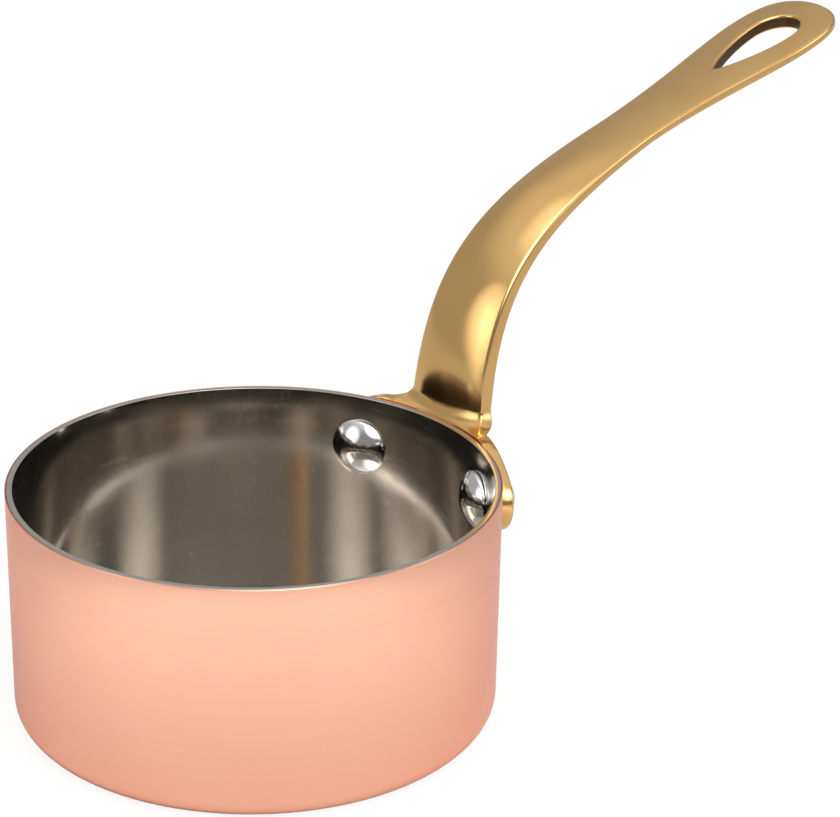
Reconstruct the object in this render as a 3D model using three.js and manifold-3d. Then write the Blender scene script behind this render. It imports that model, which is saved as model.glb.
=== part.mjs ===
// A small copper saucepan: a copper shell bonded to a stainless lining, and a cast brass handle
// held by two stainless rivets.
// Millimetres, +Z up. The origin is the middle of the base, and the handle points along +X.
import * as THREE from "three";
import { mergeVertices } from "three/addons/utils/BufferGeometryUtils.js";
import Module from "manifold-3d";

const wasm = await Module();
wasm.setup();

// Pan body
const rimDiameter = 90;
const panHeight = 45;
const wallTaper = 0.35; // how much the radius shrinks from rim to base
const cornerRadius = 4; // outside, between base and wall
const copperThickness = 0.7;
const liningThickness = 0.6;
const bondGap = 0.05; // between copper and lining

// Clearances
const seatGap = 0.25; // handle to wall, and rivet heads to what they clamp
const shankGap = 0.2; // round each rivet's shank

// Rivets
const rivetSpacing = 34; // straight across, between the two axes at the wall
const rivetDrop = 10.3; // axis below the rim
const rivetHeadDiameter = 10.8; // inside the pan
const rivetHeadHeight = 2.9;
const rivetHeadSkirt = 0.6; // straight edge below the dome
const rivetShankDiameter = 5;
const rivetTailDiameter = 9; // outside, on the flange
const rivetTailHeight = 3.1;

// Handle flange, measured along the wall from its middle and down from the rim
const flangeThickness = 2.5;
const flangeRise = 0.4; // shoulders above the rim
const shoulderLevel = 0.9; // level stretch beyond the fillet of the neck
const lobePastRivet = 4.8; // centre of each rounded end, along the wall from the rivet's axis
const lobeAboveRivet = 1.9;
const lobeRadius = 4.4;
const lobeTurn = THREE.MathUtils.degToRad(25); // how far each end's round runs below level
const shoulderEase = 4.1; // length of the easy curve at each end of the shoulder slope
const flangeDepth = 19.5; // lowest point, in the middle
const lowerEdgeEase = 12; // length of the easy curve each side of the lowest point
const lobeEase = 7; // length of the easy curve that leaves each rounded end

// Handle strap, along the middle of its upper face
const faceSetback = 1.4; // upper face outside the rim, where the strap starts
const handleReach = 104.5; // rim to tip, level
const handleRise = 63; // rim to tip, upright
const handleSlope = THREE.MathUtils.degToRad(16);
const neckLean = THREE.MathUtils.degToRad(5.4);
const neckPull = 35; // how long the neck holds its upright direction
const elbowPull = 44.8; // how long the elbow holds the slope of the straight
const straightLength = 37.5; // last stretch, up to the tip
const neckWidth = 18;
const waistWidth = 12.8;
const waistFromTip = 57;
const paddleWidth = 20;
const paddleRoundLength = 15; // rounded end, tip to widest
const paddleBluntness = 2.5; // 2 makes the end an ellipse, more makes it squarer
const paddleEase = 0.8; // below 1 draws the paddle in sooner
const neckThickness = 4.4; // at the edges
const gripThickness = 2.1; // at the edges, from the waist to the tip
const bellyDepth = 1.3; // how much thicker the middle is than the edges
const faceCrown = 0.25; // upper face, from the elbow to the tip
const edgeRound = 0.7;
const neckFillet = 3.3; // from the flange's shoulders into the neck's sides
const faceFillet = 2; // from the flange's top into the neck's face
const rootLift = 2.5; // lowest point of the strap's root, above the flange's
const rootWidth = 11; // at its lowest
const rootThickness = 0.6; // at its lowest, still within the flange

// Hanging hole, a drop with its wide end towards the tip
const holeLength = 24.3;
const holeWidth = 10.4;
const holeFromTip = 6.8;
const holeRoundLength = 6.6; // wide end to widest
const holePointWidth = 1.8; // how blunt the narrow end is
const holeSideEase = 8; // length of the easy curve before the widest

// Facets
const wallSegments = 80;
const cornerSteps = 6;
const rivetSegments = 32;
const domeSteps = 5;
const outlineDivisions = 8;
const faceSteps = 8;
const rootSteps = 8;
const curveSteps = 28;
const straightSteps = 10;
const roundSteps = 10;
const narrowestTurn = THREE.MathUtils.degToRad(6); // where the round end closes with a small facet
const weldDistance = 1e-4;

const rimRadius = rimDiameter / 2;
const taperAngle = Math.atan(wallTaper / panHeight);
const cornerCentre =
  rimRadius - wallTaper + cornerRadius * Math.tan(taperAngle) - cornerRadius / Math.cos(taperAngle);
const liningInset = copperThickness + bondGap;
const panThickness = liningInset + liningThickness;
const rivetLevel = panHeight - rivetDrop;
const rivetAngle = Math.asin(rivetSpacing / 2 / rimRadius);
const innerWall = wallRadius(rivetLevel) - panThickness / Math.cos(taperAngle);
const flangeInner = wallRadius(rivetLevel) + seatGap;
const flangeOuter = flangeInner + flangeThickness;
const sides = { left: 1, right: -1 };

// Outside radius of the wall at a height
function wallRadius(z) {
  return rimRadius - wallTaper * (1 - z / panHeight);
}

// Half section of the pan from the axis to a height, a distance inside its outer surface
function panProfile(inset, top) {
  const radius = cornerRadius - inset;
  const points = [new THREE.Vector2(0, inset)];
  for (let i = 0; i <= cornerSteps; i++) {
    const turn = THREE.MathUtils.lerp(-Math.PI / 2, -taperAngle, i / cornerSteps);
    const across = cornerCentre + radius * Math.cos(turn);
    points.push(new THREE.Vector2(across, cornerRadius + radius * Math.sin(turn)));
  }
  points.push(new THREE.Vector2(wallRadius(top) - inset / Math.cos(taperAngle), top));
  return points;
}

// A profile turned about +Z
function turned(points, segments) {
  return new THREE.LatheGeometry(points, segments).rotateX(Math.PI / 2);
}

// A closed ring between two radii and two heights, faceted like the wall
function ring(inner, outer, low, high) {
  const corners = [
    [inner, low],
    [outer, low],
    [outer, high],
    [inner, high],
    [inner, low],
  ];
  return turned(corners.map(([r, z]) => new THREE.Vector2(r, z)), wallSegments);
}

function solidOf(geometry) {
  const bare = geometry.clone();
  bare.deleteAttribute("normal");
  bare.deleteAttribute("uv");
  const merged = mergeVertices(bare, weldDistance);
  const vertProperties = merged.attributes.position.array;
  const triVerts = new Uint32Array(merged.index.array);
  return new wasm.Manifold(new wasm.Mesh({ numProp: 3, vertProperties, triVerts }));
}

function geometryOf(solid) {
  const made = solid.getMesh();
  const geometry = new THREE.BufferGeometry();
  geometry.setAttribute("position", new THREE.BufferAttribute(made.vertProperties, 3));
  geometry.setIndex(new THREE.BufferAttribute(made.triVerts, 1));
  geometry.computeVertexNormals();
  return geometry;
}

// One layer of the pan, between two distances inside its outer surface, up to the rim
function panLayer(outerInset, innerInset) {
  const outside = panProfile(outerInset, panHeight);
  const inside = panProfile(innerInset, panHeight).reverse();
  return solidOf(turned([...outside, ...inside], wallSegments));
}

// A round bar along +X at the rivets' level
function bar(radius, from, to) {
  const along = new THREE.CylinderGeometry(radius, radius, to - from, rivetSegments);
  return along.rotateZ(-Math.PI / 2).translate((from + to) / 2, 0, rivetLevel);
}

// A domed head along +X, from its seat at one distance to its top at another
function dome(radius, seat, top) {
  const height = Math.abs(top - seat);
  const bowl = (radius * radius + height * height) / (2 * height);
  const spread = Math.asin(Math.min(1, radius / bowl));
  const points = [new THREE.Vector2(0, 0)];
  for (let i = 0; i <= domeSteps; i++) {
    const turn = spread * (1 - i / domeSteps);
    points.push(new THREE.Vector2(bowl * Math.sin(turn), height - bowl * (1 - Math.cos(turn))));
  }
  const facing = top > seat ? -Math.PI / 2 : Math.PI / 2;
  return new THREE.LatheGeometry(points, rivetSegments).rotateZ(facing).translate(seat, 0, rivetLevel);
}

// One rivet on +X: a domed head inside, a shank, and a lower head hammered down on the flange
function rivet() {
  const clampLow = rivetLevel - rivetHeadDiameter;
  const clampHigh = rivetLevel + rivetHeadDiameter;
  const headRadius = rivetHeadDiameter / 2;
  const tailRadius = rivetTailDiameter / 2;
  const headSeat = innerWall - seatGap;
  const headEdge = headSeat - rivetHeadSkirt;
  const tailSeat = flangeOuter + seatGap;
  const tailSag = tailSeat - Math.sqrt(tailSeat ** 2 - tailRadius ** 2);
  const clamped = solidOf(ring(headSeat, tailSeat, clampLow, clampHigh));
  const skirt = solidOf(bar(headRadius, headEdge, headSeat + seatGap));
  const head = solidOf(dome(headRadius, headEdge, headSeat - rivetHeadHeight));
  const tailRoot = solidOf(bar(tailRadius, tailSeat - tailSag - seatGap, tailSeat));
  const tail = solidOf(dome(tailRadius, tailSeat, tailSeat + rivetTailHeight));
  const shank = solidOf(bar(rivetShankDiameter / 2, headEdge, tailSeat + rivetTailHeight / 2));
  return skirt.add(head).add(tailRoot).add(tail).subtract(clamped).add(shank);
}

// Both rivets' clearance holes, right through wall and flange
function rivetHoles() {
  const radius = rivetShankDiameter / 2 + shankGap;
  const reach = rivetHeadDiameter;
  const holes = Object.values(sides).map((side) => {
    return solidOf(bar(radius, innerWall - reach, flangeOuter + reach).rotateZ(side * rivetAngle));
  });
  return holes[0].add(holes[1]);
}

// Outline of the flange: distance along the wall, and height
function flangeOutline() {
  const shoulder = panHeight + flangeRise;
  const shoulderSpread = neckWidth / 2 + neckFillet + shoulderLevel;
  const lobeSpread = rivetAngle * flangeOuter + lobePastRivet;
  const lobeLevel = rivetLevel + lobeAboveRivet;
  const lobeTop = lobeLevel + lobeRadius;
  const lowest = panHeight - flangeDepth;
  const leaveAcross = lobeSpread + lobeRadius * Math.cos(lobeTurn);
  const leaveLevel = lobeLevel - lobeRadius * Math.sin(lobeTurn);
  const easeAcross = leaveAcross - lobeEase * Math.sin(lobeTurn);
  const easeLevel = leaveLevel - lobeEase * Math.cos(lobeTurn);
  const lobeEnd = lobeSpread - shoulderEase;
  const shoulderEnd = shoulderSpread + shoulderEase;
  const shape = new THREE.Shape();
  shape.moveTo(0, lowest);
  shape.bezierCurveTo(lowerEdgeEase, lowest, easeAcross, easeLevel, leaveAcross, leaveLevel);
  shape.absarc(lobeSpread, lobeLevel, lobeRadius, -lobeTurn, Math.PI / 2, false);
  shape.bezierCurveTo(lobeEnd, lobeTop, shoulderEnd, shoulder, shoulderSpread, shoulder);
  shape.lineTo(-shoulderSpread, shoulder);
  shape.bezierCurveTo(-shoulderEnd, shoulder, -lobeEnd, lobeTop, -lobeSpread, lobeTop);
  shape.absarc(-lobeSpread, lobeLevel, lobeRadius, Math.PI / 2, Math.PI + lobeTurn, false);
  shape.bezierCurveTo(-easeAcross, easeLevel, -lowerEdgeEase, lowest, 0, lowest);
  return shape;
}

// A prism that stands out from the pan's axis through an outline wrapped on the wall
function wrappedPrism(shape, wrapRadius, near, far) {
  const outline = shape.getPoints(outlineDivisions);
  if (outline[0].distanceTo(outline.at(-1)) < weldDistance) outline.pop();
  const distinct = outline.filter((p, i) => p.distanceTo(outline.at(i - 1)) > weldDistance);
  const at = (p, r) => {
    const angle = p.x / wrapRadius;
    return [r * Math.cos(angle), r * Math.sin(angle), p.y];
  };
  const positions = [near, far].flatMap((r) => distinct.flatMap((p) => at(p, r)));
  const count = distinct.length;
  const index = [];
  THREE.ShapeUtils.triangulateShape(distinct, []).forEach(([a, b, c]) => {
    index.push(a, c, b, a + count, b + count, c + count);
  });
  distinct.forEach((_, i) => {
    const next = (i + 1) % count;
    index.push(i, next, i + count, next, next + count, i + count);
  });
  const geometry = new THREE.BufferGeometry();
  geometry.setAttribute("position", new THREE.Float32BufferAttribute(positions, 3));
  return geometry.setIndex(index);
}

// Curved plate that lies on the wall. The prism's flat ends stay well clear of both its faces.
function flange() {
  const low = panHeight - flangeDepth - lobeRadius;
  const high = panHeight + flangeRise + lobeRadius;
  const plate = solidOf(ring(flangeInner - flangeThickness, flangeOuter, low, high));
  const prism = wrappedPrism(flangeOutline(), flangeOuter, flangeInner / 2, flangeOuter * 2);
  return plate.intersect(solidOf(prism));
}

// Where the strap's upper face starts, bends and ends, in the handle's upright plane
const neckStart = new THREE.Vector3(rimRadius + faceSetback, 0, panHeight);
const tip = new THREE.Vector3(rimRadius + handleReach, 0, panHeight + handleRise);
const slope = new THREE.Vector3(Math.cos(handleSlope), 0, Math.sin(handleSlope));
const slopeUp = new THREE.Vector3(-slope.z, 0, slope.x);
const neckAim = new THREE.Vector3(Math.sin(neckLean), 0, Math.cos(neckLean));
const straightStart = tip.clone().addScaledVector(slope, -straightLength);
const bend = new THREE.CubicBezierCurve3(
  neckStart,
  neckStart.clone().addScaledVector(neckAim, neckPull),
  straightStart.clone().addScaledVector(slope, -elbowPull),
  straightStart,
);
const bendLength = bend.getLength();
const neckFromTip = bendLength + straightLength;

// Half the strap's width at a distance from the tip along its face
function halfWidth(fromTip) {
  if (fromTip < paddleRoundLength) {
    const part = 1 - fromTip / paddleRoundLength;
    return (paddleWidth / 2) * (1 - part ** paddleBluntness) ** (1 / paddleBluntness);
  }
  if (fromTip < waistFromTip) {
    const part = (fromTip - paddleRoundLength) / (waistFromTip - paddleRoundLength);
    const eased = (1 + Math.cos(Math.PI * part ** paddleEase)) / 2;
    return THREE.MathUtils.lerp(waistWidth, paddleWidth, eased) / 2;
  }
  return THREE.MathUtils.mapLinear(fromTip, waistFromTip, neckFromTip, waistWidth, neckWidth) / 2;
}

// Quarter-round swell of a fillet, at a height above the face that it rises from
function filletSwell(radius, height) {
  const left = Math.max(0, radius - Math.max(0, height));
  return radius - Math.sqrt(radius * radius - left * left);
}

// Cross-section of the strap: across, and up from the chord of its face
function strapSection(half, thickness, crown, belly, flare) {
  const round = Math.min(edgeRound, half / 2, thickness / 2);
  const corner = round * (1 - Math.SQRT1_2);
  const face = half + flare;
  const points = [];
  for (let i = 0; i <= faceSteps; i++) {
    const part = (2 * i) / faceSteps - 1;
    points.push([(face - round) * part, crown * (1 - part * part)]);
  }
  points.push([face - corner, -corner], [face, -round]);
  points.push([half, round - thickness], [half - corner, corner - thickness]);
  for (let i = 0; i <= faceSteps; i++) {
    const part = 1 - (2 * i) / faceSteps;
    points.push([(half - round) * part, -thickness - belly * (1 - part * part)]);
  }
  points.push([corner - half, corner - thickness], [-half, round - thickness]);
  points.push([-face, -round], [corner - face, -corner]);
  return points;
}

// One ring of the strap, square to its path
function strapRing(place, along, section) {
  const up = new THREE.Vector3(-along.z, 0, along.x);
  return section.map(([across, height]) => {
    const point = place.clone().addScaledVector(up, height);
    return point.setY(across);
  });
}

// Rings down the flange, where the strap's root swells out of the plate
function rootRings() {
  const upright = new THREE.Vector3(0, 0, 1);
  const rootDepth = flangeDepth - rootLift;
  const rings = [];
  for (let i = 0; i < rootSteps; i++) {
    const part = i / rootSteps;
    const eased = part * part * (3 - 2 * part);
    const place = neckStart.clone().setZ(panHeight - rootDepth * (1 - part));
    const half = THREE.MathUtils.lerp(rootWidth, neckWidth, eased) / 2;
    const thickness = THREE.MathUtils.lerp(rootThickness, neckThickness, eased);
    rings.push(strapRing(place, upright, strapSection(half, thickness, 0, bellyDepth * eased, 0)));
  }
  return rings;
}

// Rings from the rim to the tip
function gripRings() {
  const stations = [];
  for (let i = 0; i <= curveSteps; i++) {
    const part = i / curveSteps;
    const fromTip = straightLength + bendLength * (1 - part);
    stations.push({ place: bend.getPointAt(part), along: bend.getTangentAt(part), fromTip });
  }
  const onStraight = (fromTip) => {
    stations.push({ place: tip.clone().addScaledVector(slope, -fromTip), along: slope, fromTip });
  };
  for (let i = 1; i <= straightSteps; i++) {
    onStraight(THREE.MathUtils.lerp(straightLength, paddleRoundLength, i / straightSteps));
  }
  for (let i = 1; i <= roundSteps; i++) {
    const turn = THREE.MathUtils.lerp(Math.PI / 2, narrowestTurn, i / roundSteps);
    onStraight(paddleRoundLength * (1 - Math.cos(turn)));
  }
  return stations.map(({ place, along, fromTip }) => {
    const above = place.z - panHeight;
    const half = halfWidth(fromTip);
    const flare = filletSwell(neckFillet, above - flangeRise);
    const towardsPan = filletSwell(faceFillet, above - flangeRise);
    const hollow = THREE.MathUtils.clamp((fromTip - straightLength) / bendLength, 0, 1);
    const wallBow = -((half + flare) ** 2) / (2 * neckStart.x);
    const crown = THREE.MathUtils.lerp(faceCrown, wallBow, hollow);
    const slender = THREE.MathUtils.clamp((fromTip - waistFromTip) / (neckFromTip - waistFromTip), 0, 1);
    const thickness = THREE.MathUtils.lerp(gripThickness, neckThickness, slender);
    const section = strapSection(half, thickness + towardsPan, crown, bellyDepth, flare);
    return strapRing(place, along, section.map(([across, height]) => [across, height + towardsPan]));
  });
}

// A closed skin over rings of equal count
function loft(rings) {
  const count = rings[0].length;
  const positions = rings.flat().flatMap((p) => p.toArray());
  const index = [];
  for (let r = 0; r + 1 < rings.length; r++) {
    for (let i = 0; i < count; i++) {
      const a = r * count + i;
      const b = r * count + ((i + 1) % count);
      index.push(a, a + count, b, b, a + count, b + count);
    }
  }
  const cap = (ringPoints, first, flip) => {
    const middle = ringPoints.reduce((sum, p) => sum.add(p), new THREE.Vector3()).divideScalar(count);
    const centre = positions.push(...middle.toArray()) / 3 - 1;
    for (let i = 0; i < count; i++) {
      const next = first + ((i + 1) % count);
      index.push(centre, flip ? next : first + i, flip ? first + i : next);
    }
  };
  cap(rings[0], 0, false);
  cap(rings.at(-1), (rings.length - 1) * count, true);
  const geometry = new THREE.BufferGeometry();
  geometry.setAttribute("position", new THREE.Float32BufferAttribute(positions, 3));
  return geometry.setIndex(index);
}

// Drop-shaped cutter through the paddle
function hangingHole() {
  const widest = holeLength - holeRoundLength;
  const half = holeWidth / 2;
  const blunt = holePointWidth / 2;
  const shape = new THREE.Shape();
  shape.moveTo(0, 0);
  shape.bezierCurveTo(0, blunt, widest - holeSideEase, half, widest, half);
  shape.absellipse(widest, 0, holeRoundLength, half, Math.PI / 2, -Math.PI / 2, true);
  shape.bezierCurveTo(widest - holeSideEase, -half, 0, -blunt, 0, 0);
  const depth = 2 * (gripThickness + bellyDepth + faceCrown);
  const options = { depth, bevelEnabled: false, curveSegments: outlineDivisions };
  const cutter = new THREE.ExtrudeGeometry(shape, options);
  const across = new THREE.Vector3(0, 1, 0);
  const start = tip.clone().addScaledVector(slope, -holeFromTip - holeLength);
  start.addScaledVector(slopeUp, -gripThickness / 2 - depth / 2);
  const placing = new THREE.Matrix4().makeBasis(slope, across, slopeUp).setPosition(start);
  return solidOf(cutter.applyMatrix4(placing));
}

// Brass casting: flange and strap in one piece, kept clear of the pan's wall
function brassHandle() {
  const strap = solidOf(loft([...rootRings(), ...gripRings()]));
  const overRim = panHeight + flangeRise + faceFillet;
  const wall = panProfile(-seatGap, overRim);
  const panSpace = solidOf(turned([...wall, new THREE.Vector2(0, overRim)], wallSegments));
  return flange().add(strap).subtract(panSpace).subtract(hangingHole()).subtract(rivetHoles());
}

const copper = { color: 0xd98e6e, roughness: 0.25, metalness: 1 };
const stainless = { color: 0xa8a39b, roughness: 0.3, metalness: 1 };
const polishedStainless = { color: 0xc8c8c6, roughness: 0.08, metalness: 1 };
const brass = { color: 0xc09a55, roughness: 0.25, metalness: 1 };

function piece(name, geometry, finish) {
  const mesh = new THREE.Mesh(geometry, new THREE.MeshStandardMaterial(finish));
  mesh.name = name;
  return mesh;
}

const saucepan = new THREE.Group();
const holes = rivetHoles();
const shell = panLayer(0, copperThickness).subtract(holes);
const lining = panLayer(liningInset, panThickness).subtract(holes);
saucepan.add(piece("copper_shell", geometryOf(shell), copper));
saucepan.add(piece("steel_lining", geometryOf(lining), stainless));
saucepan.add(piece("brass_handle", geometryOf(brassHandle()), brass));
const rivetGeometry = geometryOf(rivet());
Object.entries(sides).forEach(([side, turn]) => {
  const mesh = piece(`rivet_${side}`, rivetGeometry, polishedStainless);
  mesh.rotation.z = turn * rivetAngle;
  saucepan.add(mesh);
});

export default saucepan;
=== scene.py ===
"""A small copper saucepan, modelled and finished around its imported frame.

The pan is spun from two sheets, copper outside and stainless steel inside.
A cast brass handle is held to its wall by two stainless rivets.
"""

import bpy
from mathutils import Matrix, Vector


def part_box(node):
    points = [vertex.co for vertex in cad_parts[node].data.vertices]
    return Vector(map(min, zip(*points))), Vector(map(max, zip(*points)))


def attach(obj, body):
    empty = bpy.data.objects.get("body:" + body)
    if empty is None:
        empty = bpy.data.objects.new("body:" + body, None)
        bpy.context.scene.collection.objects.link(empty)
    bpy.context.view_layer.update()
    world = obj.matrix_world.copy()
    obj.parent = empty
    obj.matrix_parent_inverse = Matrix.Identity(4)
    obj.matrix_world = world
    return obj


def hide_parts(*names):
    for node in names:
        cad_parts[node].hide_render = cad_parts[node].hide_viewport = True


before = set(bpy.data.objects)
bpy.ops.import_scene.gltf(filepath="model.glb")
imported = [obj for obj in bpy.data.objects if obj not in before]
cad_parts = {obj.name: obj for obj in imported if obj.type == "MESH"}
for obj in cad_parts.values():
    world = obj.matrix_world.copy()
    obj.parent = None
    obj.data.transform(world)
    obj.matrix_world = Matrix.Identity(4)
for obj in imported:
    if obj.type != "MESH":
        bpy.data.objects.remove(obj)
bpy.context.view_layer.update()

import math
from bisect import bisect_right

import bmesh
import bpy
from bpy.props import FloatProperty, FloatVectorProperty, IntProperty, PointerProperty
from bpy.types import Operator, Panel, PropertyGroup
from mathutils import Matrix, Vector
from mathutils.geometry import interpolate_bezier

bl_info = {
    "name": "Copper saucepan",
    "version": (1, 0, 0),
    "blender": (4, 5, 0),
    "location": "View3D > Sidebar > Saucepan",
    "description": "Models a lined copper saucepan with a riveted brass handle, and a studio for it",
    "category": "Add Mesh",
}

MM = 0.001
WELD = 1e-6
X_AXIS = Vector((1, 0, 0))
Y_AXIS = Vector((0, 1, 0))
Z_AXIS = Vector((0, 0, 1))
WHITE = (1, 1, 1, 1)
BODY = "root"
# Mask of the hanging hole's wall, which gets painted shade
HOLE_SHADE = "painted_hole_shade"
RIM_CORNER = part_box("copper_shell")[1]
SHARP_ANGLE = math.radians(40)
HOLE_SIDES = 48


def length(name, description, millimetres):
    """A size property, written in millimetres and kept in metres."""
    return FloatProperty(
        name=name, description=description, default=millimetres * MM, unit="LENGTH", precision=5
    )


def angle(name, description, degrees):
    """An angle property, written in degrees and kept in radians."""
    return FloatProperty(
        name=name, description=description, default=math.radians(degrees), subtype="ANGLE"
    )


def number(name, description, value):
    """A plain property."""
    return FloatProperty(name=name, description=description, default=value)


def colour(name, description, value):
    """A colour property, in linear light."""
    return FloatVectorProperty(
        name=name, description=description, default=value, subtype="COLOR", size=3, min=0, max=1
    )


def gloss(name, clean, hazed):
    """A pair of roughness values, for clean metal and for hazed metal."""
    return FloatVectorProperty(
        name=name, description="Roughness where clean, and where hazed", default=(clean, hazed), size=2
    )


class PanSizes(PropertyGroup):
    """Sizes of the two bonded sheets."""

    rim_radius: length("Rim radius", "Outside, at the rim", RIM_CORNER.x / MM)
    height: length("Height", "From the base to the rim", RIM_CORNER.z / MM)
    taper: length("Taper", "How much the radius shrinks from rim to base", 0.35)
    corner_radius: length("Corner radius", "Outside, between base and wall", 4)
    inner_corner: length("Inner corner", "Inside the lining, between base and wall", 1.7)
    draft: length("Draft", "How much thicker the lining is at the base than at the rim", 0.8)
    copper: length("Copper", "Thickness of the copper at the rim", 0.28)
    lining: length("Lining", "Thickness of the stainless sheet at the rim", 1.02)
    bond_gap: length("Bond gap", "Between copper and lining", 0.05)
    rim_round: length("Rim round", "On the other edges at the rim", 0.08)
    outer_round: length("Outer round", "On the copper's outer edge at the rim", 0.18)
    turns: IntProperty(name="Turns", description="Steps round the pan", default=192)


class RivetSizes(PropertyGroup):
    """Sizes of the two rivets."""

    spacing: length("Spacing", "Straight across, between the axes at the wall", 34)
    drop: length("Drop", "Axis below the rim", 10.3)
    head_diameter: length("Head diameter", "Inside the pan", 11.2)
    head_height: length("Head height", "Dome and skirt", 2.9)
    head_skirt: length("Head skirt", "Straight edge below the dome", 0.6)
    shank_diameter: length("Shank diameter", "Through wall and flange", 5)
    tail_diameter: length("Tail diameter", "Outside, on the flange", 9)
    tail_height: length("Tail height", "Dome of the hammered end", 3.1)
    seat_gap: length("Seat gap", "Between the heads and what they clamp", 0.05)
    shank_gap: length("Shank gap", "Round each shank", 0.2)
    turns: IntProperty(name="Turns", description="Steps round a rivet", default=72)


class HandleSizes(PropertyGroup):
    """Sizes of the brass casting. Distances along it are from the rim, and across it from its middle."""

    wall_gap: length("Wall gap", "Between flange and wall", 0.1)
    flange: length("Flange", "Thickness of the flange", 2.65)
    flange_crispness: number("Flange crispness", "Share of the edge round kept on the wall's side", 0.25)
    flange_depth: length("Flange depth", "Lowest point, in the middle", 19.5)
    flange_rise: length("Flange rise", "Shoulders above the rim", 0.2)
    shoulder_ease: length("Shoulder ease", "Easy curve at each end of the shoulder's slope", 3)
    shoulder_turn: angle("Shoulder turn", "How far each end's round runs above level", 62)
    lobe_spread: length("Lobe spread", "Middle to the centre of each rounded end", 22.6)
    lobe_drop: length("Lobe drop", "Centre of each rounded end, below the rim", 8.4)
    lobe_radius: length("Lobe radius", "Of each rounded end", 4.3)
    lobe_turn: angle("Lobe turn", "How far each end's round runs below level", 25)
    lobe_ease: length("Lobe ease", "Easy curve that leaves each rounded end", 7)
    lower_ease: length("Lower ease", "Easy curve each side of the lowest point", 12)
    root_lift: length("Root lift", "Strap's root above the flange's lowest point", 2.5)
    root_width: length("Root width", "Where the strap's root starts", 11)
    setback: length("Setback", "Strap's face outside the rim", 2.1)
    reach: length("Reach", "Rim to tip, level", 104.5)
    rise: length("Rise", "Rim to tip, upright", 62.75)
    slope: angle("Slope", "Of the straight stretch", 15.4)
    lean: angle("Lean", "Of the neck where it starts", 5.4)
    neck_pull: length("Neck pull", "How long the neck holds its direction", 35.4)
    elbow_pull: length("Elbow pull", "How long the elbow holds the slope", 45.2)
    straight: length("Straight", "Last stretch, up to the tip", 37.5)
    neck_width: length("Neck width", "At the rim", 19.2)
    neck_ease: number("Neck ease", "Above 1 keeps the neck wide for longer", 1.05)
    waist_width: length("Waist width", "At its narrowest", 13.1)
    waist_from_tip: length("Waist from tip", "Place of the narrowest width", 57)
    paddle_width: length("Paddle width", "At its widest", 20.4)
    paddle_round: length("Paddle round", "Rounded end, tip to widest", 15)
    paddle_bluntness: number("Paddle bluntness", "2 makes the end an ellipse, more makes it squarer", 2.8)
    paddle_ease: number("Paddle ease", "Below 1 draws the paddle in sooner", 0.8)
    neck_thickness: length("Neck thickness", "At the edges, at the rim", 3.2)
    grip_thickness: length("Grip thickness", "At the edges, from the waist to the tip", 1.75)
    belly: length("Belly", "How much further the lower face bows out in the middle", 0.9)
    edge_round: length("Edge round", "Of every edge", 0.5)
    neck_fillet: length("Neck fillet", "From the shoulders into the neck's sides", 3.3)
    face_fillet: length("Face fillet", "From the flange's top into the neck's face", 3)
    root_crown: length("Root crown", "Height of the face's middle above its edges, at the rim", 1.1)
    bend_crown: length("Bend crown", "The same, along the bend", 1.4)
    paddle_crown: length("Paddle crown", "The same, at the tip", 0.35)
    neck_fall: length("Neck fall", "How much further the face's edges drop at the neck", 0.35)
    neck_fall_width: length("Neck fall width", "Strip along each edge that drops", 2.2)
    crown_power: number("Crown power", "2 crowns the face evenly, more keeps its middle flat", 2.2)
    hole_length: length("Hole length", "Of the hanging hole", 24.3)
    hole_width: length("Hole width", "At its widest", 9.5)
    hole_from_tip: length("Hole from tip", "Metal left at the tip", 6.8)
    hole_round: length("Hole round", "Wide end to widest", 6.6)
    hole_point: length("Hole point", "How blunt the narrow end is", 1.8)
    hole_ease: length("Hole ease", "Easy curve before the widest", 8)


class Finishes(PropertyGroup):
    """Colours and gloss of the four metals."""

    copper: colour("Copper", "Polished copper", (0.985, 0.54, 0.38))
    copper_deep: colour("Deep copper", "Copper where it has dulled", (0.9, 0.44, 0.29))
    copper_tint: colour("Copper tint", "Tint of copper seen edge-on", (1, 0.8, 0.76))
    copper_edge: colour("Copper edge", "Cut edge at the rim", (0.60, 0.28, 0.19))
    steel: colour("Steel", "Stainless lining", (0.615, 0.58, 0.535))
    steel_deep: colour("Deep steel", "Lining where it has dulled", (0.58, 0.545, 0.495))
    brass: colour("Brass", "Polished brass", (0.84, 0.52, 0.205))
    brass_deep: colour("Deep brass", "Brass where it has dulled", (0.74, 0.43, 0.155))
    # Painted shade: near-black brown for the hanging hole's wall, standing for the dark it reflects
    brass_hole_shade: colour("Painted hole shade", "Painted shade on the wall of the hanging hole", (0.10, 0.062, 0.026))
    rivet: colour("Rivet", "Polished stainless steel", (0.80, 0.79, 0.78))
    copper_gloss: gloss("Copper gloss", 0.21, 0.25)
    steel_gloss: gloss("Steel gloss", 0.09, 0.13)
    brass_gloss: gloss("Brass gloss", 0.09, 0.14)
    rivet_gloss: gloss("Rivet gloss", 0.04, 0.08)


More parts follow.
